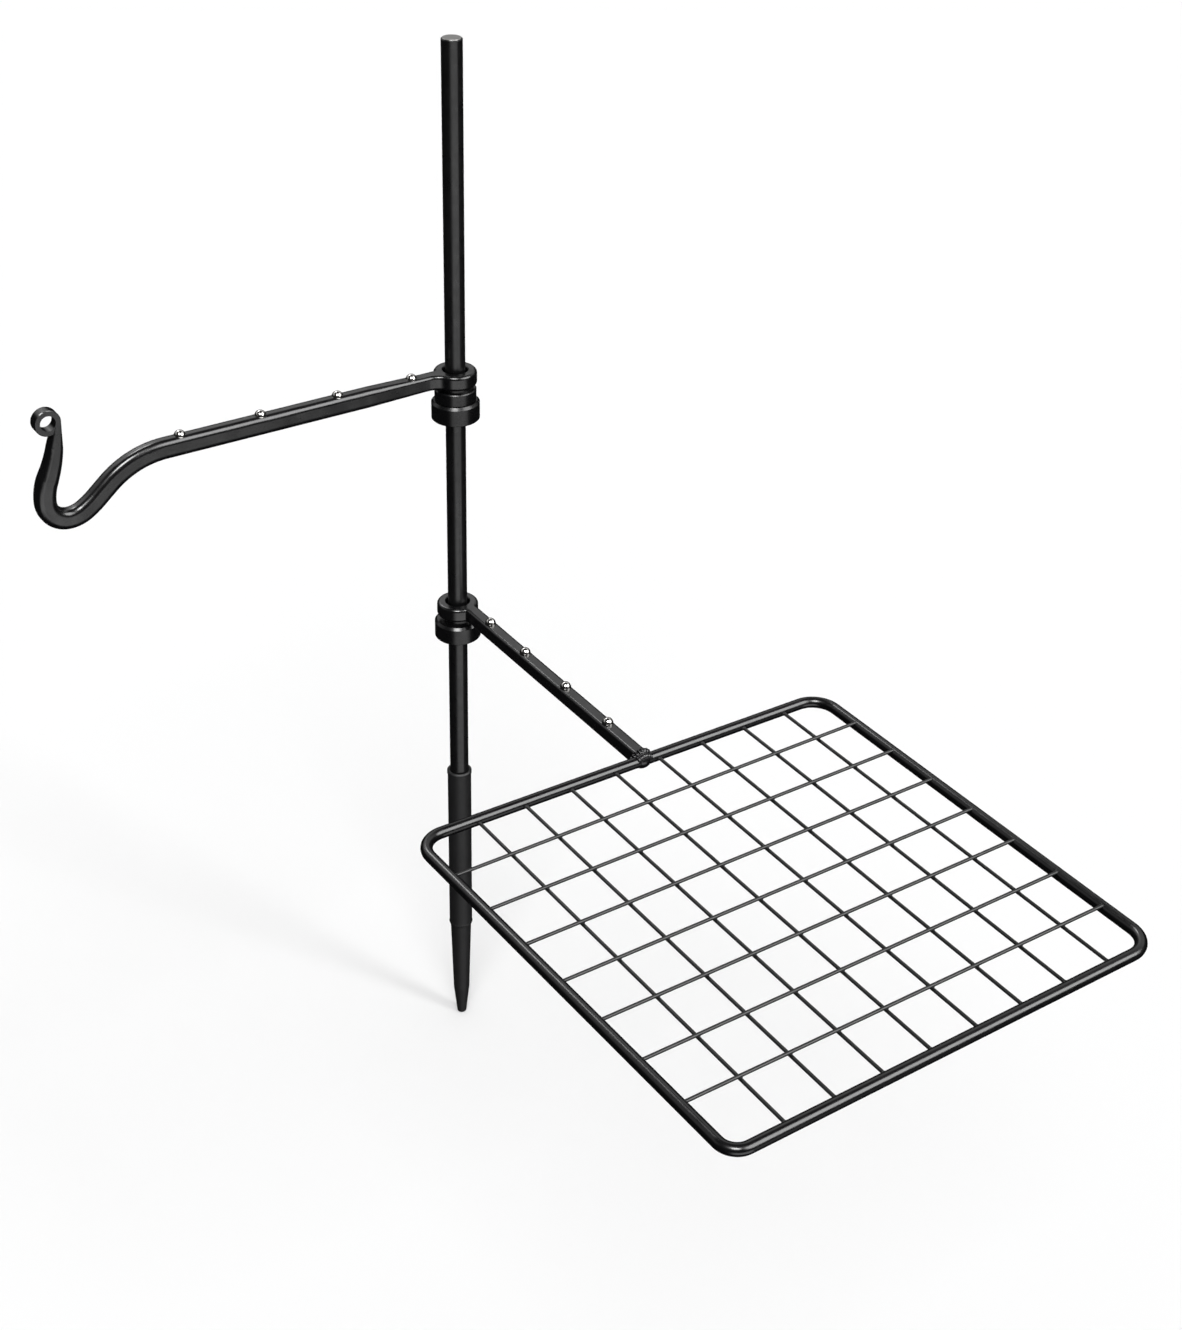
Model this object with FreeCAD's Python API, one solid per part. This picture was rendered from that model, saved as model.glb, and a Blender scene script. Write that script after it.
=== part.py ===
import FreeCAD, Part
import math
import os

# Campfire stake: a round pole in a driven ground spike, carrying a swinging pot hook
# and a swinging grill grate, each resting on its own clamped collar.
# Millimetres. Origin at the spike's tip, +Z up the pole, +X along the grill arm,
# -Y along the hook arm.

V = FreeCAD.Vector
up = V(0, 0, 1)

# --- pole and ground spike ---
pole_d = 20.0                  # round bar
pole_length = 1000.0
pole_end_bevel = 1.2
spike_tip_r = 5.2              # blunt nose
spike_nose_round = 2.0
spike_neck_r = 9.1             # where the sharp taper turns into the long one
spike_neck_z = 38.0
spike_shoulder_r = 10.75
spike_shoulder_z = 100.0
spike_head_r = 11.8            # weld shoulder right under the tube
spike_length = 137.0           # tip to the foot of the tube
spigot_length = 14.0           # the point's spigot inside the tube, which the pole rests on
socket_d = 25.8
socket_length = 213.0
socket_fit = 0.35              # radial play between pole and tube
lip_r = 13.45                  # rolled lip at the tube's mouth
lip_height = 5.0
lip_bevel = 1.3                # outer edge of the mouth

# --- collars, spacer and wear washers ---
collar_r = 24.0
collar_height = 19.7
collar_bevel = 2.4             # sloping top shoulder
collar_edge = 0.8              # small bevel at the foot
collar_fit = 0.25              # radial play on the pole
screw_d = 8.0
screw_length = 12.0
screw_fit = 0.1                # play of the set screw in its tapped hole
screw_gap = 0.15               # set screw's nose to the pole while it is slack
screw_socket_af = 4.0          # hexagon key, across flats
screw_socket_depth = 4.5
screw_angle = 150.0            # round the pole from +X
spacer_r = 20.7
spacer_height = 12.7
spacer_edge = 0.9
washer_r = 17.0
hook_washer_thickness = 3.7
grill_washer_thickness = 5.5
ring_fit = 0.4                 # radial play of spacer and washers on the pole
swing_gap = 0.2                # eye over washer

# --- arms: bar stock, eyes and nubs ---
bar_width = 14.2
bar_height = 15.4
bar_round = 3.6                # rounding along the bar's four edges
hook_width = 15.8              # the hook arm's bar where it is full
hook_height = 19.2
hook_round = 6.0               # and the rounding along its edges
swell_run = 60.0               # from the hook arm's seam to where it is full
eye_r = 21.4
eye_bore_r = 12.5              # a loose fit, so the arm can tip and bite on the pole
eye_bore_bevel = 0.8
seam_run = 14.6                # eye's rim to the seam between eye and bar
crook_round = 3.0              # inside corner where the bar leaves the eye
hook_blend_round = 18.0        # the same corner on the hook arm's front side
nub_r = 5.6
grill_nub_rise = 0.5           # the ball's centre above the bar's top face
hook_nub_rise = -1.1
hook_collar_z = 776.0
hook_arm_offset = -2.0         # bar's middle beside the pole axis, towards +X
grill_collar_z = 524.0
grill_arm_offset = 4.9         # bar's middle beside the pole axis, towards +Y
hook_nubs = (48.0, 128.3, 209.0, 290.0)       # distances from the pole axis
grill_nubs = (57.5, 124.0, 198.0, 271.5)

# --- hook: runs and bends along its middle, heading down first, then up and round ---
hook_reach = 305.6             # pole axis to the first bend
shoulder_bend = (87.0, -41.0)  # radius, turn in degrees
slope_run = 16.3
bowl_entry_bend = (80.0, 11.0)
bowl_floor_bend = (29.0, 30.0)
bowl_rise_bend = (20.5, 90.0)
throat_bend = (55.6, 23.4)
throat_run = 6.0
tail_bend = (121.0, -12.4)
tail_run = 23.5
neck_width = 13.4              # where the tail's bend ends
neck_height = 13.2
neck_round = 3.5
curl_r = 12.3                  # rolled eye at the hook's end
curl_thickness = 5.1
curl_width = 10.5
curl_edge = 0.7

# --- grate ---
frame_rod_d = 11.0
frame_side = 458.0             # outside to outside
frame_near_x = 332.3           # pole axis to the near rod's middle
frame_centre_y = -7.6
frame_corners = (              # side along X and Y, pull off square along X and Y, bend radius
    (1, 1, -1.6, 0.0, 25.0),
    (-1, 1, 1.5, -1.3, 25.0),
    (-1, -1, -4.5, -7.2, 25.0),
    (1, -1, 2.3, 0.5, 17.0),
)
wire_d = 3.3
long_wires = 8
long_pitch = 49.0
long_centre_y = -4.4
cross_wires = 7
cross_pitch = 54.8
weld_r = 10.8
weld_centre_dx = 1.5           # lump's middle past the near side of the rod

pole_r = pole_d / 2
socket_bore_r = pole_r + socket_fit
socket_top = spike_length + socket_length
pole_z = spike_length + spigot_length
screw_r = screw_d / 2
wire_r = wire_d / 2
rod_r = frame_rod_d / 2
eye_stub = eye_r + seam_run                   # pole axis to the seam
frame_mid = frame_side - frame_rod_d          # side between rod middles
frame_x = frame_near_x + frame_mid / 2

hook_eye_z = hook_collar_z + collar_height + spacer_height + hook_washer_thickness + swing_gap
grill_eye_z = grill_collar_z + collar_height + grill_washer_thickness + swing_gap
hook_bar_z = hook_eye_z + bar_height / 2
grill_bar_z = grill_eye_z + bar_height / 2


def revolved(points):
    """Solid of revolution about Z from (radius, height) corners."""
    corners = [V(r, 0, z) for r, z in points]
    outline = Part.makePolygon(corners + [corners[0]])
    return Part.Face(outline).revolve(V(0, 0, 0), up, 360)


def ring(outer_r, inner_r, z, height, top_bevel=0.0, foot_bevel=0.0):
    return revolved([
        (inner_r, z),
        (outer_r - foot_bevel, z),
        (outer_r, z + foot_bevel),
        (outer_r, z + height - top_bevel),
        (outer_r - top_bevel, z + height),
        (inner_r, z + height),
    ])


def edges_where(shape, test):
    return [edge for edge in shape.Edges if test(edge)]


def rounded_rectangle(width, height, corner):
    """Wire in the XY plane about the origin, width along X."""
    w, h, c = width / 2, height / 2, corner
    s = c * (1 - math.sqrt(0.5))
    edges = []
    for sx, sy in ((1, 1), (-1, 1), (-1, -1), (1, -1)):
        side_end = V(sx * w, sy * (h - c), 0)
        top_end = V(sx * (w - c), sy * h, 0)
        middle = V(sx * (w - s), sy * (h - s), 0)
        first, last = (side_end, top_end) if sx * sy > 0 else (top_end, side_end)
        edges.append((first, middle, last))
    loop = []
    for i, (first, middle, last) in enumerate(edges):
        loop.append(Part.Arc(first, middle, last).toShape())
        loop.append(Part.LineSegment(last, edges[(i + 1) % 4][0]).toShape())
    return Part.Wire(loop)


def spike_point():
    point = revolved([
        (0, 0),
        (spike_tip_r, 0),
        (spike_neck_r, spike_neck_z),
        (spike_shoulder_r, spike_shoulder_z),
        (spike_head_r, spike_length),
        (socket_bore_r, spike_length),
        (socket_bore_r, pole_z),
        (0, pole_z),
    ])
    nose = edges_where(point, lambda e: e.BoundBox.ZMax < 0.01 and e.BoundBox.XMax > spike_tip_r / 2)
    return point.makeFillet(spike_nose_round, nose)


def socket_tube():
    r = socket_d / 2
    lip_z = socket_top - lip_height
    lip_step = lip_r - r
    return revolved([
        (socket_bore_r, spike_length),
        (r - lip_step, spike_length),
        (r, spike_length + lip_step),
        (r, lip_z),
        (lip_r, lip_z + lip_step),
        (lip_r, socket_top - lip_bevel),
        (lip_r - lip_bevel, socket_top),
        (socket_bore_r + lip_step, socket_top),
        (socket_bore_r, socket_top - lip_step),
    ])


def pole():
    top = pole_z + pole_length
    b = pole_end_bevel
    return revolved([
        (0, pole_z),
        (pole_r - b, pole_z),
        (pole_r, pole_z + b),
        (pole_r, top - b),
        (pole_r - b, top),
        (0, top),
    ])


def radial(shape, z):
    """Turns a shape built along +X at height 0 to the set screws' side of a collar."""
    turned = shape.copy()
    turned.rotate(V(0, 0, 0), up, screw_angle)
    turned.translate(V(0, 0, z))
    return turned


def screw_height(collar_z):
    return collar_z + (collar_height - collar_bevel) / 2


def collar(z):
    body = ring(collar_r, pole_r + collar_fit, z, collar_height, collar_bevel, collar_edge)
    hole = Part.makeCylinder(screw_r + screw_fit, collar_r * 2, V(0, 0, 0), V(1, 0, 0))
    return body.cut(radial(hole, screw_height(z)))


def set_screw(z):
    start = pole_r + screw_gap
    bevel = screw_r / 4
    screw = Part.makeCylinder(screw_r, screw_length, V(start, 0, 0), V(1, 0, 0))
    ends = edges_where(screw, lambda e: isinstance(e.Curve, Part.Circle))
    screw = screw.makeChamfer(bevel, ends)
    corner_r = screw_socket_af / math.sqrt(3)
    corners = [
        V(start + screw_length, corner_r * math.cos(a), corner_r * math.sin(a))
        for a in (i * math.pi / 3 for i in range(7))
    ]
    key = Part.Face(Part.makePolygon(corners)).extrude(V(-screw_socket_depth, 0, 0))
    return radial(screw.cut(key), screw_height(z))


def lay(shape, heading, z):
    """Turns a shape built along +X to its heading round the pole and lifts it to z."""
    laid = shape.copy()
    laid.rotate(V(0, 0, 0), up, heading)
    laid.translate(V(0, 0, z))
    return laid


def arm_eye(offset, left_round, right_round):
    """Forged eye with the root of its bar along +X, its foot at height 0."""
    disc = Part.makeCylinder(eye_r, bar_height)
    root = Part.makeBox(eye_stub, bar_width, bar_height, V(0, offset - bar_width / 2, 0))
    body = disc.fuse(root).removeSplitter()
    for side, corner in ((1, left_round), (-1, right_round)):
        y = offset + side * bar_width / 2
        crook = edges_where(
            body,
            lambda e: e.BoundBox.ZLength > bar_height - 0.1
            and e.BoundBox.DiagonalLength < bar_height + 0.1
            and abs(e.BoundBox.YMin - y) < 0.01
            and 0 < e.BoundBox.XMin < eye_stub - 0.1,
        )
        body = body.makeFillet(corner, crook)
    rims = edges_where(
        body,
        lambda e: e.BoundBox.ZLength < 0.01 and e.BoundBox.XMin < eye_stub - 0.1,
    )
    body = body.makeFillet(bar_round, rims)
    bore = revolved([
        (0, 0),
        (eye_bore_r + eye_bore_bevel, 0),
        (eye_bore_r, eye_bore_bevel),
        (eye_bore_r, bar_height - eye_bore_bevel),
        (eye_bore_r + eye_bore_bevel, bar_height),
        (0, bar_height),
    ])
    return body.cut(bore)


def bar_section(x, y, z, heading_deg, width, height, corner):
    """Section across a bar that runs in the XZ plane at side offset y, heading up from +X."""
    wire = rounded_rectangle(width, height, corner)
    # local X of the section lies along +Y, local Y along the bar's upper normal
    wire.rotate(V(0, 0, 0), V(1, 0, 0), 90)
    wire.rotate(V(0, 0, 0), up, 90)
    wire.rotate(V(0, 0, 0), V(0, 1, 0), -heading_deg)
    wire.translate(V(x, y, z))
    return wire


def hook_route(offset):
    """Edges along the hook's middle, and its place and heading at each edge's end."""
    steps = [
        (swell_run, 0),
        (hook_reach - eye_stub - swell_run, 0),
        shoulder_bend,
        (slope_run, 0),
        bowl_entry_bend,
        bowl_floor_bend,
        bowl_rise_bend,
        throat_bend,
        (throat_run, 0),
        tail_bend,
        (tail_run, 0),
    ]
    x, z, heading = eye_stub, 0.0, 0.0
    places = [(x, z, heading)]
    edges = []
    for size, turn in steps:
        a = math.radians(heading)
        start = V(x, offset, z)
        if turn == 0:
            x += size * math.cos(a)
            z += size * math.sin(a)
            edges.append(Part.LineSegment(start, V(x, offset, z)).toShape())
        else:
            side = math.copysign(1, turn)
            centre_x = x - side * size * math.sin(a)
            centre_z = z + side * size * math.cos(a)
            half = math.radians(heading + turn / 2)
            heading += turn
            b = math.radians(heading)
            middle = V(centre_x + side * size * math.sin(half), offset,
                       centre_z - side * size * math.cos(half))
            x = centre_x + side * size * math.sin(b)
            z = centre_z - side * size * math.cos(b)
            edges.append(Part.Arc(start, middle, V(x, offset, z)).toShape())
        places.append((x, z, heading))
    return edges, places


def swept(edges, sections):
    shell = Part.BRepOffsetAPI.MakePipeShell(Part.Wire(edges))
    shell.setBiNormalMode(V(0, 1, 0))
    for section in sections:
        shell.add(section)
    shell.build()
    shell.makeSolid()
    return shell.shape()


def hook_bar(offset):
    """Bar, bowl and rolled eye of the hook arm, built along +X with its middle at height 0."""
    edges, places = hook_route(offset)
    taper_from = len(edges) - 3

    def section(i, width, height, corner):
        x, z, heading = places[i]
        return bar_section(x, offset, z, heading, width, height, corner)

    root = section(0, bar_width, bar_height, bar_round)
    full = section(1, hook_width, hook_height, hook_round)
    bowl_end = section(taper_from, hook_width, hook_height, hook_round)
    neck = section(-2, neck_width, neck_height, neck_round)
    tip = section(-1, curl_width, curl_thickness, curl_edge)
    swell = swept(edges[:1], [root, full])
    bowl = swept(edges[1:taper_from], [full])
    throat = swept(edges[taper_from:-1], [bowl_end, neck])
    tail = swept(edges[-1:], [neck, tip])

    end_x, end_z, end_heading = places[-1]
    reach = curl_r - curl_thickness / 2
    b = math.radians(end_heading)
    centre = V(end_x + reach * math.sin(b), offset - curl_width / 2, end_z - reach * math.cos(b))
    curl = Part.makeCylinder(curl_r, curl_width, centre, V(0, 1, 0))
    curl = curl.makeChamfer(curl_edge, edges_where(curl, lambda e: e.BoundBox.YLength < 0.01))
    bore = Part.makeCylinder(curl_r - curl_thickness, curl_width, centre, V(0, 1, 0))
    return swell.fuse([bowl, throat, tail, curl]).cut(bore).removeSplitter()


def grill_bar(offset, frame):
    """Grill arm's straight bar along +X, its middle at height 0, coped round the near rod."""
    section = Part.Face(bar_section(eye_stub, offset, 0, 0, bar_width, bar_height, bar_round))
    return section.extrude(V(near_rod_x(offset) - eye_stub, 0, 0)).cut(frame)


def hook_bar_top(reach):
    """Height of the hook arm's top face over its middle, at a distance from the pole axis."""
    share = min(1.0, (reach - eye_stub) / swell_run)
    return (bar_height + share * (hook_height - bar_height)) / 2


def nub(reach, offset, height, bar):
    """Steel ball pressed into the bar's top; what shows of it."""
    return Part.makeSphere(nub_r, V(reach, offset, height)).cut(bar)


def frame_corner(side_x, side_y, pull_x, pull_y):
    """Where the middles of two frame rods would meet."""
    return V(frame_x + side_x * frame_mid / 2 + pull_x,
             frame_centre_y + side_y * frame_mid / 2 + pull_y, 0)


def near_rod_x(y):
    """Middle of the near rod at a distance along it."""
    left, right = [frame_corner(*c[:4]) for c in frame_corners if c[0] < 0]
    share = (y - right.y) / (left.y - right.y)
    return right.x + share * (left.x - right.x)


def frame_route():
    """Closed line along the middle of the frame's rod, rounded at its corners."""
    corners = [frame_corner(*c[:4]) for c in frame_corners]
    bends = []
    for i, corner in enumerate(corners):
        bend_r = frame_corners[i][4]
        before = (corners[i - 1] - corner).normalize()
        after = (corners[(i + 1) % len(corners)] - corner).normalize()
        half_angle = before.getAngle(after) / 2
        inward = (before + after).normalize()
        run = bend_r / math.tan(half_angle)
        depth = bend_r / math.sin(half_angle) - bend_r
        bends.append((corner + before * run, corner + inward * depth, corner + after * run))
    loop = []
    for i, (first, middle, last) in enumerate(bends):
        loop.append(Part.Arc(first, middle, last).toShape())
        loop.append(Part.LineSegment(last, bends[(i + 1) % len(bends)][0]).toShape())
    return Part.Wire(loop)


def grate_frame(route):
    """Round rod along the route."""
    start = route.OrderedVertexes[0].Point
    along = route.OrderedEdges[0].tangentAt(route.OrderedEdges[0].FirstParameter)
    section = Part.Wire(Part.makeCircle(rod_r, start, along))
    return route.makePipeShell([section], True, False)


def weld_lump(offset, bar, frame):
    lump = Part.makeSphere(weld_r, V(near_rod_x(offset) - rod_r + weld_centre_dx, offset, 0))
    return lump.cut(bar).cut(frame)


def build():
    nodes = {
        "spike_point": spike_point(),
        "socket_tube": socket_tube(),
        "pole": pole(),
    }

    # collars and what rests on them
    ring_bore = pole_r + ring_fit
    for name, z in (("hook", hook_collar_z), ("grill", grill_collar_z)):
        nodes[name + "_collar"] = collar(z)
        nodes[name + "_set_screw"] = set_screw(z)
    spacer_z = hook_collar_z + collar_height
    nodes["hook_spacer"] = ring(spacer_r, ring_bore, spacer_z, spacer_height, spacer_edge, spacer_edge)
    nodes["hook_washer"] = ring(washer_r, ring_bore, spacer_z + spacer_height, hook_washer_thickness)
    nodes["grill_washer"] = ring(washer_r, ring_bore, grill_collar_z + collar_height,
                                 grill_washer_thickness)

    # hook arm, along -Y: its left side is +X
    hook_heading = -90
    nodes["hook_arm_eye"] = lay(arm_eye(hook_arm_offset, hook_blend_round, crook_round),
                                hook_heading, hook_eye_z)
    bar = hook_bar(hook_arm_offset)
    nodes["hook_arm_bar"] = lay(bar, hook_heading, hook_bar_z)
    for i, reach in enumerate(hook_nubs):
        ball = nub(reach, hook_arm_offset, hook_bar_top(reach) + hook_nub_rise, bar)
        nodes[f"hook_nub_{i + 1}"] = lay(ball, hook_heading, hook_bar_z)

    # grill arm, along +X
    route = frame_route()
    frame = grate_frame(route)
    nodes["grill_arm_eye"] = lay(arm_eye(grill_arm_offset, crook_round, crook_round), 0, grill_eye_z)
    bar = grill_bar(grill_arm_offset, frame)
    nodes["grill_arm_bar"] = lay(bar, 0, grill_bar_z)
    for i, reach in enumerate(grill_nubs):
        ball = nub(reach, grill_arm_offset, bar_height / 2 + grill_nub_rise, bar)
        nodes[f"grill_nub_{i + 1}"] = lay(ball, 0, grill_bar_z)

    # grate: rod frame, long wires, cross wires lying on them
    nodes["grate_frame"] = lay(frame, 0, grill_bar_z)
    nodes["arm_weld"] = lay(weld_lump(grill_arm_offset, bar, frame), 0, grill_bar_z)
    within = Part.Face(route).extrude(V(0, 0, frame_rod_d))
    within.translate(V(0, 0, -rod_r))
    for i in range(long_wires):
        y = long_centre_y + long_pitch * (i - (long_wires - 1) / 2)
        wire = Part.makeCylinder(wire_r, frame_side, V(frame_x - frame_side / 2, y, 0), V(1, 0, 0))
        nodes[f"long_wire_{i + 1}"] = lay(wire.common(within).cut(frame), 0, grill_bar_z)
    for i in range(cross_wires):
        x = frame_x + cross_pitch * (i - (cross_wires - 1) / 2)
        start = V(x, frame_centre_y - frame_side / 2, wire_d)
        wire = Part.makeCylinder(wire_r, frame_side, start, V(0, 1, 0))
        nodes[f"cross_wire_{i + 1}"] = lay(wire.common(within).cut(frame), 0, grill_bar_z)
    return nodes


os.makedirs("parts", exist_ok=True)
for node, shape in build().items():
    shape.exportStep(f"parts/{node}.step")
    box = shape.BoundBox
    print(node, "valid" if shape.isValid() else "INVALID", "solids", len(shape.Solids),
          "volume", round(shape.Volume, 1),
          "x", round(box.XMin, 1), round(box.XMax, 1),
          "y", round(box.YMin, 1), round(box.YMax, 1),
          "z", round(box.ZMin, 1), round(box.ZMax, 1))
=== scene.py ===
import bpy
import bmesh
import math
from mathutils import Matrix, Vector


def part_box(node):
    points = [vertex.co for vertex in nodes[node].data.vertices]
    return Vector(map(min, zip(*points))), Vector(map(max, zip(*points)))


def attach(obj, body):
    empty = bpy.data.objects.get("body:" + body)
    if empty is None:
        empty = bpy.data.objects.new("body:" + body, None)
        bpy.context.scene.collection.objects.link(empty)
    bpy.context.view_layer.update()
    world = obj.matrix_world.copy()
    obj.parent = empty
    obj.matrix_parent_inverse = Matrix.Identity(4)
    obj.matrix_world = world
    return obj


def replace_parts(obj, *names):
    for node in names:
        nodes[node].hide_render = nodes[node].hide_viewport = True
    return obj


# Campfire stake with a swinging pot hook and a swinging grill grate, all black powder coat.
# Metres, +Z up the pole, +X along the grill arm, -Y along the hook arm.

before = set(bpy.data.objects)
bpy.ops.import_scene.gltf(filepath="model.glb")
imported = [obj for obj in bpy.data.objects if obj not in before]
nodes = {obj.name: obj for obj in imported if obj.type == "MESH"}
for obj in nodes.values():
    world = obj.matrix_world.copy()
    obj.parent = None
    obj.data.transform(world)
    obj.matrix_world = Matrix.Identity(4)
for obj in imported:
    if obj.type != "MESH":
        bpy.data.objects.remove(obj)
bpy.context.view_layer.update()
mm = 0.001
print("frame loaded:", len(nodes), "nodes")

scene = bpy.context.scene
scene.view_settings.view_transform = "Standard"  # keeps the floor white and the coat black
scene.cycles.use_denoising = True


def linkNew(obj):
    scene.collection.objects.link(obj)
    return obj


# where the camera stands and how it is turned
view = {
    "place": (1.6439, -0.9661, 1.7010),
    "heading": 55.315,   # degrees from +Y towards -X
    "pitch": 32.50,      # degrees down
    "roll": 1.678,
    "lens": 57.461,
    "sensor": 36.0,
}
cameraData = bpy.data.cameras.new("camera")
cameraData.sensor_fit = "VERTICAL"
cameraData.sensor_height = view["sensor"]
cameraData.lens = view["lens"]
camera = linkNew(bpy.data.objects.new("camera", cameraData))
camera.matrix_world = (
    Matrix.Translation(view["place"])
    @ Matrix.Rotation(math.radians(view["heading"]), 4, "Z")
    @ Matrix.Rotation(math.radians(90 - view["pitch"]), 4, "X")
    @ Matrix.Rotation(math.radians(view["roll"]), 4, "Z")
)
scene.camera = camera
print("camera set")


# sRGB hex to linear
def linear(hexColour):
    channels = [int(hexColour[i:i + 2], 16) / 255 for i in (1, 3, 5)]
    return tuple(c / 12.92 if c <= 0.04045 else ((c + 0.055) / 1.055) ** 2.4 for c in channels) + (1.0,)


# adds a node: settings by keyword, inputs as values or as sockets to link
def addNode(tree, kind, inputs=None, **settings):
    node = tree.nodes.new(kind)
    for name, value in settings.items():
        setattr(node, name, value)
    for socket, value in (inputs or {}).items():
        if isinstance(value, bpy.types.NodeSocket):
            tree.links.new(value, node.inputs[socket])
        else:
            node.inputs[socket].default_value = value
    return node


def newMaterial(name):
    material = bpy.data.materials.new(name)
    material.use_nodes = True
    tree = material.node_tree
    tree.nodes.clear()
    shader = addNode(tree, "ShaderNodeBsdfPrincipled")
    addNode(tree, "ShaderNodeOutputMaterial", {"Surface": shader.outputs["BSDF"]})
    place = addNode(tree, "ShaderNodeTexCoord").outputs["Object"]
    return material, tree, shader, place


# noise whose lumps are `size` millimetres across, longer along one axis if stretched
def noise(tree, place, size, detail, stretch=(1, 1, 1)):
    if stretch != (1, 1, 1):
        place = addNode(tree, "ShaderNodeMapping", {"Vector": place, "Scale": stretch}).outputs["Vector"]
    return addNode(tree, "ShaderNodeTexNoise", {
        "Vector": place, "Scale": 1000 / size, "Detail": detail,
    }).outputs["Fac"]


# noise mostly lies between 0.3 and 0.7: this spreads it over the range that's wanted
def spread(tree, value, low, high):
    return addNode(tree, "ShaderNodeMapRange", {
        "Value": value, "From Min": 0.3, "From Max": 0.7, "To Min": low, "To Max": high,
    }).outputs["Result"]


# studio: a white floor, a key light in front, a soft box at the right and a pale backdrop
studio = {
    "floorSize": 60.0,
    "floorColour": "#f2f2f2",
    "ambient": 0.612,   # soft light on the floor, the same from all round
    "dark": 0.012,      # what the coat mirrors where there is no patch
}
# azimuth, elevation, angle across, power, whether it lights the floor and whether the coat mirrors it
lamps = {
    "keyLight": (-32, 54, 28, 1.40, True, True),
    "lowLight": (24, 36, 13, 0.86, True, False),
    "edgeLight": (-35, 58, 22, 2.2, False, True),
    "sideLight": (36, 39, 44, 3.6, False, True),
    "backLight": (178, 46, 16, 0.55, False, True),
}
# azimuth, cosine and its soft edge, middle height, half height and its soft edge, strength
patches = {
    "backdrop": (145, 0.35, 0.25, 0.58, 0.11, 0.15, 0.78),
    "leftCard": (-160, 0.55, 0.20, 0.50, 0.15, 0.10, 0.40),
    "floorGlow": (-10, 0.80, 0.13, -0.42, 0.17, 0.10, 1.92),
}


def direction(azimuth, elevation):
    a = math.radians(azimuth)
    e = math.radians(elevation)
    return Vector((math.cos(a) * math.cos(e), math.sin(a) * math.cos(e), math.sin(e)))


def distantLight(name, azimuth, elevation, angle, power):
    lamp = bpy.data.lights.new(name, "SUN")
    lamp.angle = math.radians(angle)
    lamp.energy = power
    light = linkNew(bpy.data.objects.new(name, lamp))
    light.rotation_euler = direction(azimuth, elevation).to_track_quat("Z", "Y").to_euler()
    return light


floorMesh = bpy.data.meshes.new("floor")
bm = bmesh.new()
bmesh.ops.create_grid(bm, x_segments=1, y_segments=1, size=studio["floorSize"] / 2)
bm.to_mesh(floorMesh)
bm.free()
floor = linkNew(bpy.data.objects.new("floor", floorMesh))
paper, tree, shader, place = newMaterial("whitePaperSweep")
shader.inputs["Base Color"].default_value = linear(studio["floorColour"])
shader.inputs["Roughness"].default_value = 1.0
shader.inputs["Specular IOR Level"].default_value = 0.0
floorMesh.materials.append(paper)
floor.visible_glossy = False    # what the coat mirrors below the horizon is in the world
floor.visible_diffuse = False

for name, (azimuth, elevation, angle, power, onFloor, inCoat) in lamps.items():
    light = distantLight(name, azimuth, elevation, angle, power)
    light.visible_diffuse = onFloor
    light.visible_glossy = inCoat

# world: white to the camera, even for soft light, and a few pale patches for mirrored rays
world = bpy.data.worlds.new("studio")
scene.world = world
world.use_nodes = True
world.cycles.sampling_method = "NONE"
tree = world.node_tree
tree.nodes.clear()
ray = addNode(tree, "ShaderNodeLightPath").outputs
toSky = addNode(tree, "ShaderNodeTexCoord").outputs["Generated"]
height = addNode(tree, "ShaderNodeSeparateXYZ", {"Vector": toSky}).outputs["Z"]
flat = addNode(tree, "ShaderNodeVectorMath", {0: toSky, 1: (1, 1, 0)}, operation="MULTIPLY")
level = addNode(tree, "ShaderNodeVectorMath", {0: flat.outputs["Vector"]},
                operation="NORMALIZE").outputs["Vector"]


# adds one pale patch to the brightness so far
def worldPatch(total, azimuth, reach, edge, middle, half, softEdge, strength):
    facing = addNode(tree, "ShaderNodeVectorMath", {0: level, 1: direction(azimuth, 0)},
                     operation="DOT_PRODUCT").outputs["Value"]
    across = addNode(tree, "ShaderNodeMapRange", {
        "Value": facing, "From Min": reach - edge, "From Max": reach + edge, "To Max": strength,
    }, interpolation_type="SMOOTHSTEP").outputs["Result"]
    off = addNode(tree, "ShaderNodeMath", {0: height, 1: middle}, operation="SUBTRACT").outputs[0]
    off = addNode(tree, "ShaderNodeMath", {0: off}, operation="ABSOLUTE").outputs[0]
    up = addNode(tree, "ShaderNodeMapRange", {
        "Value": off, "From Min": half, "From Max": half + softEdge, "To Min": 1.0, "To Max": 0.0,
    }, interpolation_type="SMOOTHSTEP").outputs["Result"]
    return addNode(tree, "ShaderNodeMath", {0: across, 1: up, 2: total},
                   operation="MULTIPLY_ADD").outputs[0]


mirrored = studio["dark"]
for patch in patches.values():
    mirrored = worldPatch(mirrored, *patch)
soft = addNode(tree, "ShaderNodeMix", {
    "Factor": ray["Is Diffuse Ray"], "A": mirrored, "B": studio["ambient"],
}, data_type="FLOAT").outputs["Result"]
seen = addNode(tree, "ShaderNodeMix", {
    "Factor": ray["Is Camera Ray"], "A": soft, "B": 1.0,
}, data_type="FLOAT").outputs["Result"]
background = addNode(tree, "ShaderNodeBackground", {"Color": (1, 1, 1, 1), "Strength": seen})
addNode(tree, "ShaderNodeOutputWorld", {"Surface": background.outputs["Background"]})
print("studio lit")


# black powder coat on steel: satin black, with a fine orange peel and a faintly cloudy gloss
coat = {
    "peelSize": 2.6,     # orange peel, lump to lump: the real 1 to 2 mm, coarsened a little to show
    "cloudSize": 16.0,   # patches of slightly different gloss and blackness
    "cloudGloss": 0.6,   # the gloss patches beside the colour patches
    "bareEdge": 0.3,     # the pole's top face is bare from this far below it
}
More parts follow.
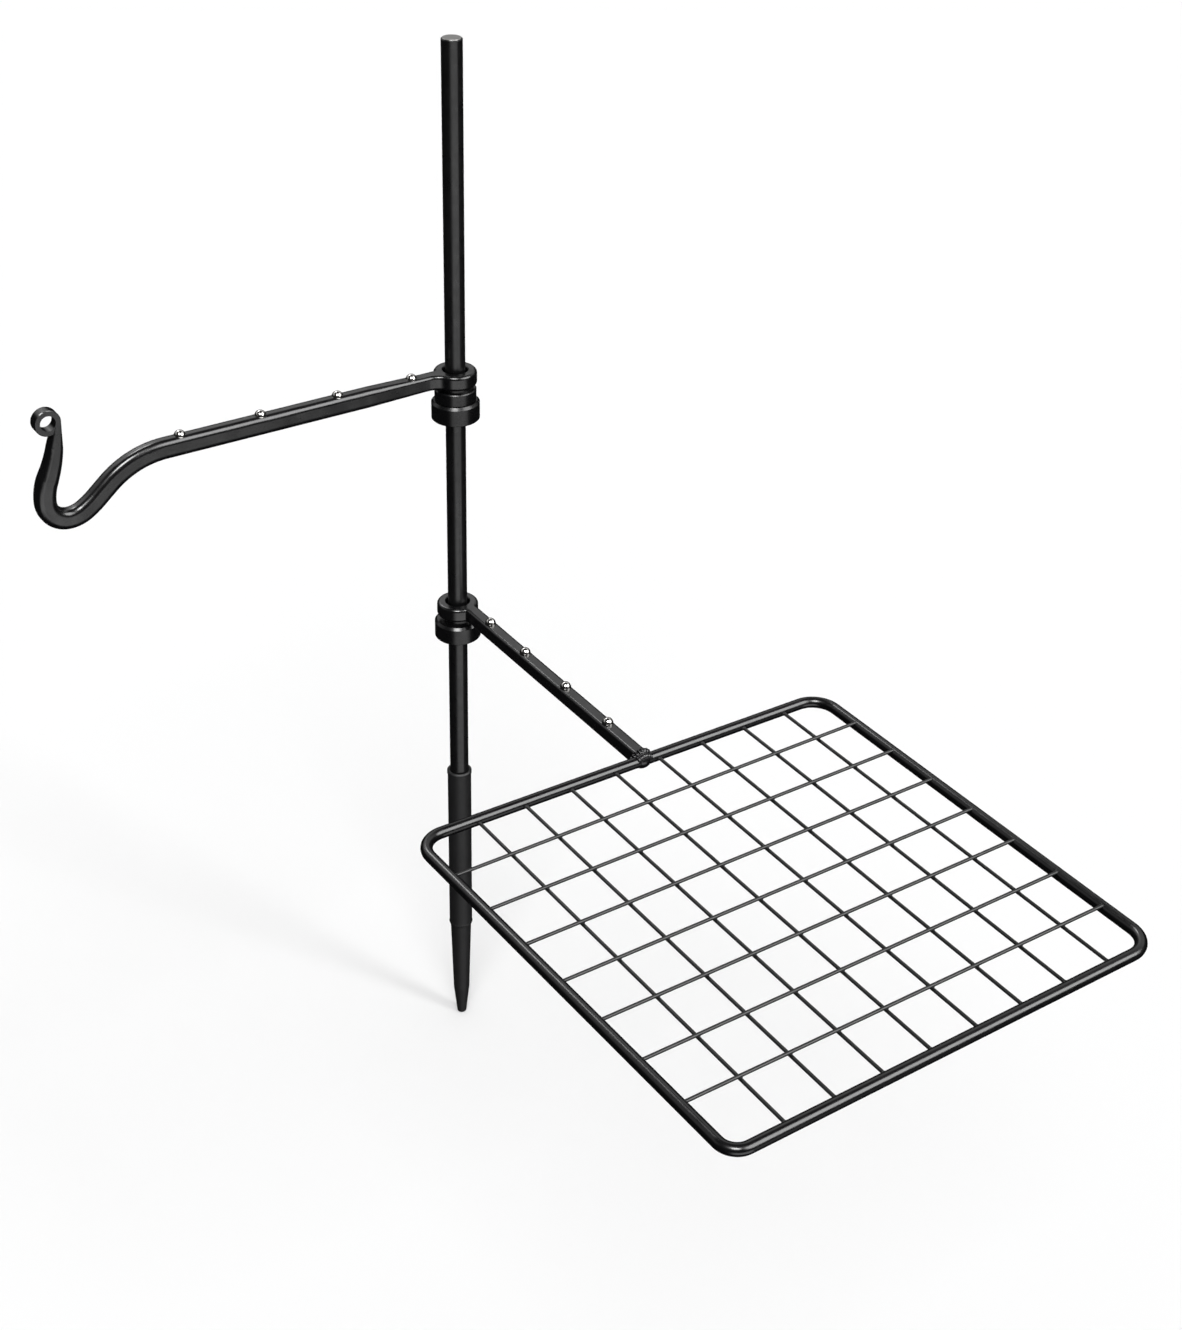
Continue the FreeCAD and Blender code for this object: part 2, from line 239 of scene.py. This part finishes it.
# colours, roughness, peel height, and the steel's own waves below: size, height and stretch, all mm
finishes = {
    "stake_coat": {"colours": ("#121213", "#1d1d1e"), "gloss": (0.46, 0.56), "level": 0.35,
                   "peel": 0.030, "wave": (26, 0.25, (1, 1, 0.35))},
    "pole_coat": {"colours": ("#070708", "#111112"), "gloss": (0.26, 0.36), "level": 0.5,
                  "peel": 0.020, "wave": (9, 0.10, (1, 1, 0.12))},
    "collar_coat": {"colours": ("#060607", "#0e0e0f"), "gloss": (0.22, 0.30), "level": 0.4,
                    "peel": 0.020, "wave": (22, 0.12, (1, 1, 1))},
    "arm_coat": {"colours": ("#060607", "#0e0e0f"), "gloss": (0.20, 0.28), "level": 0.55,
                 "peel": 0.018, "wave": (26, 0.90, (0.8, 0.8, 1))},
    "frame_coat": {"colours": ("#050506", "#0c0c0d"), "gloss": (0.20, 0.27), "level": 0.55,
                   "peel": 0.014, "wave": (40, 0.25, (1, 1, 1))},
    "wire_coat": {"colours": ("#0a0a0b", "#141415"), "gloss": (0.34, 0.42), "level": 0.5,
                  "peel": 0.012, "wave": (30, 0.10, (1, 1, 1))},
}
bareSteel = {"colour": "#b9b8b6", "roughness": 0.30}   # a sawn end, dull grey steel


# steelAbove is the height from which the steel is bare
def powderCoat(name, finish, steelAbove=None):
    material, tree, shader, place = newMaterial(name)
    low, high = finish["colours"]
    colour = addNode(tree, "ShaderNodeMix", {
        "Factor": noise(tree, place, coat["cloudSize"], 4.0), "A": linear(low), "B": linear(high),
    }, data_type="RGBA").outputs["Result"]
    gloss = spread(tree, noise(tree, place, coat["cloudSize"] * coat["cloudGloss"], 3.0),
                   *finish["gloss"])
    if steelAbove:
        up = addNode(tree, "ShaderNodeSeparateXYZ", {"Vector": place}).outputs["Z"]
        bare = addNode(tree, "ShaderNodeMath", {0: up, 1: steelAbove},
                       operation="GREATER_THAN").outputs[0]
        colour = addNode(tree, "ShaderNodeMix", {
            "Factor": bare, "A": colour, "B": linear(bareSteel["colour"]),
        }, data_type="RGBA").outputs["Result"]
        gloss = addNode(tree, "ShaderNodeMix", {
            "Factor": bare, "A": gloss, "B": bareSteel["roughness"],
        }, data_type="FLOAT").outputs["Result"]
        tree.links.new(bare, shader.inputs["Metallic"])
    size, rise, stretch = finish["wave"]
    wave = addNode(tree, "ShaderNodeBump", {
        "Height": noise(tree, place, size, 1.0, stretch), "Distance": rise * mm,
    }).outputs["Normal"]
    peel = addNode(tree, "ShaderNodeBump", {
        "Height": noise(tree, place, coat["peelSize"], 1.0), "Distance": finish["peel"] * mm,
        "Normal": wave,
    }).outputs["Normal"]
    shader.inputs["Specular IOR Level"].default_value = finish["level"]
    tree.links.new(colour, shader.inputs["Base Color"])
    tree.links.new(gloss, shader.inputs["Roughness"])
    tree.links.new(peel, shader.inputs["Normal"])
    return material


bareFrom = {"pole_coat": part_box("pole")[1].z - coat["bareEdge"] * mm}
coats = {}
for slot, finish in finishes.items():
    coats[slot] = powderCoat("blackPowderCoat_" + slot, finish, bareFrom.get(slot))

# polished ball steel: bright, its gloss a little uneven from handling
nubSteel = {"colour": "#cfcdca", "gloss": (0.10, 0.22), "smear": 1.2}
# black oxide on steel: a thin dark film, still metallic
screwSteel = {"colour": "#3a393b", "gloss": (0.28, 0.42), "smear": 2.0}


def steel(name, finish):
    material, tree, shader, place = newMaterial(name)
    shader.inputs["Metallic"].default_value = 1.0
    shader.inputs["Base Color"].default_value = linear(finish["colour"])
    gloss = spread(tree, noise(tree, place, finish["smear"], 3.0), *finish["gloss"])
    tree.links.new(gloss, shader.inputs["Roughness"])
    return material


coats["nub_steel"] = steel("polishedSteel", nubSteel)
coats["screw_steel"] = steel("blackOxideSteel", screwSteel)
for node in nodes.values():
    for cadSlot in node.material_slots:
        cadSlot.material = coats[cadSlot.material.name]
print("finishes on the metal parts")


# welds are overlapping flattened balls, melted into one skin where the bead is wide
def meshPiece(name, bm, slot, body):
    mesh = bpy.data.meshes.new(name)
    bm.to_mesh(mesh)
    bm.free()
    piece = linkNew(bpy.data.objects.new(name, mesh))
    mesh.materials.append(coats[slot])
    mesh.polygons.foreach_set("use_smooth", [True] * len(mesh.polygons))
    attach(piece, body)
    return piece


def addBlob(bm, place, size, turn=0.0, axis="X", fineness=3):
    matrix = (Matrix.Translation(place) @ Matrix.Rotation(turn, 4, axis)
              @ Matrix.Diagonal(Vector(size) * mm).to_4x4())
    bmesh.ops.create_icosphere(bm, subdivisions=fineness, radius=1.0, matrix=matrix)


# runs the balls together into one closed skin and softens it
def melt(bm, voxel, rounds):
    mesh = bpy.data.meshes.new("melting")
    bm.to_mesh(mesh)
    bm.clear()
    blobs = linkNew(bpy.data.objects.new("melting", mesh))
    skin = blobs.modifiers.new("skin", "REMESH")
    skin.mode = "VOXEL"
    skin.voxel_size = voxel * mm
    soft = blobs.modifiers.new("soft", "SMOOTH")
    soft.iterations = rounds
    bpy.context.view_layer.update()
    melted = blobs.evaluated_get(bpy.context.evaluated_depsgraph_get()).to_mesh()
    bm.from_mesh(melted)
    bpy.data.objects.remove(blobs)


armWeld = {
    "lump": (9.2, 10.4, 9.0),
    "lumpBack": 2.6,           # the lump's middle, back from the rod
    "ring": (2.0, 8.4, 7.7),   # the bead's run: along the arm, across it and up
    "ringBack": 5.0,
    "ripple": (3.4, 1.6, 3.6),
    "ripples": 17,
    "sweep": 290.0,            # degrees round the bar's end
    "cap": (4.0, 1.7, 3.2),
    "caps": 7,
    "capStep": 2.3,
    "capForward": 1.6,
    "capUp": 5.6,
    "capDrop": 0.22,           # the second pass sinks towards its ends
    "capTilt": 12.0,
    "voxel": 0.45,
    "softer": 2,
}
barLow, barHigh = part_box("grill_arm_bar")
jointY = (barLow.y + barHigh.y) / 2
jointZ = (barLow.z + barHigh.z) / 2
rodX = barHigh.x
bm = bmesh.new()
addBlob(bm, (rodX - armWeld["lumpBack"] * mm, jointY, jointZ), armWeld["lump"])
# the bead runs round the bar's end, over its top and down both sides
along, across, up = armWeld["ring"]
for i in range(armWeld["ripples"]):
    angle = math.radians(armWeld["sweep"] * (i / (armWeld["ripples"] - 1) - 0.5))
    place = (rodX + (along * math.cos(angle) - armWeld["ringBack"]) * mm,
             jointY + across * mm * math.sin(angle), jointZ + up * mm * math.cos(angle))
    addBlob(bm, place, armWeld["ripple"], -angle)
# a second pass lies along the rod's top
for i in range(armWeld["caps"]):
    step = i - (armWeld["caps"] - 1) / 2
    place = (rodX + armWeld["capForward"] * mm, jointY + step * armWeld["capStep"] * mm,
             jointZ + (armWeld["capUp"] - armWeld["capDrop"] * step ** 2) * mm)
    addBlob(bm, place, armWeld["cap"], math.radians(armWeld["capTilt"]))
melt(bm, armWeld["voxel"], armWeld["softer"])
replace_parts(meshPiece("arm_weld_bead", bm, "arm_coat", "grill_arm"), "arm_weld")

# spot welds: each wire's ends on the frame, and every crossing of two wires
wireWeld = {"end": (2.5, 2.5, 1.9), "crossing": (2.0, 2.0, 1.55)}
longWires = [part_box(f"long_wire_{i + 1}") for i in range(8)]
crossWires = [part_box(f"cross_wire_{i + 1}") for i in range(7)]
bm = bmesh.new()
for low, high in longWires + crossWires:
    middle = (low + high) / 2
    alongX = high.x - low.x > high.y - low.y
    for end in (low, high):
        place = (end.x, middle.y, middle.z) if alongX else (middle.x, end.y, middle.z)
        addBlob(bm, place, wireWeld["end"], fineness=2)
meshPiece("wire_end_welds", bm, "wire_coat", "grill_arm")
bm = bmesh.new()
for longLow, longHigh in longWires:
    for crossLow, crossHigh in crossWires:
        place = ((crossLow.x + crossHigh.x) / 2, (longLow.y + longHigh.y) / 2,
                 (longHigh.z + crossLow.z) / 2)
        addBlob(bm, place, wireWeld["crossing"], fineness=2)
meshPiece("wire_crossing_welds", bm, "wire_coat", "grill_arm")

# the bead between the spike and the tube
spikeWeld = {"ripples": 30, "radius": 11.9, "ripple": (1.5, 1.7, 2.1), "voxel": 0.4, "softer": 1}
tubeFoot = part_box("socket_tube")[0].z
bm = bmesh.new()
for i in range(spikeWeld["ripples"]):
    angle = math.tau * i / spikeWeld["ripples"]
    radius = spikeWeld["radius"] * mm
    place = (radius * math.cos(angle), radius * math.sin(angle), tubeFoot)
    addBlob(bm, place, spikeWeld["ripple"], angle, "Z")
melt(bm, spikeWeld["voxel"], spikeWeld["softer"])
meshPiece("spike_weld_bead", bm, "stake_coat", "stake")
print("welds laid")
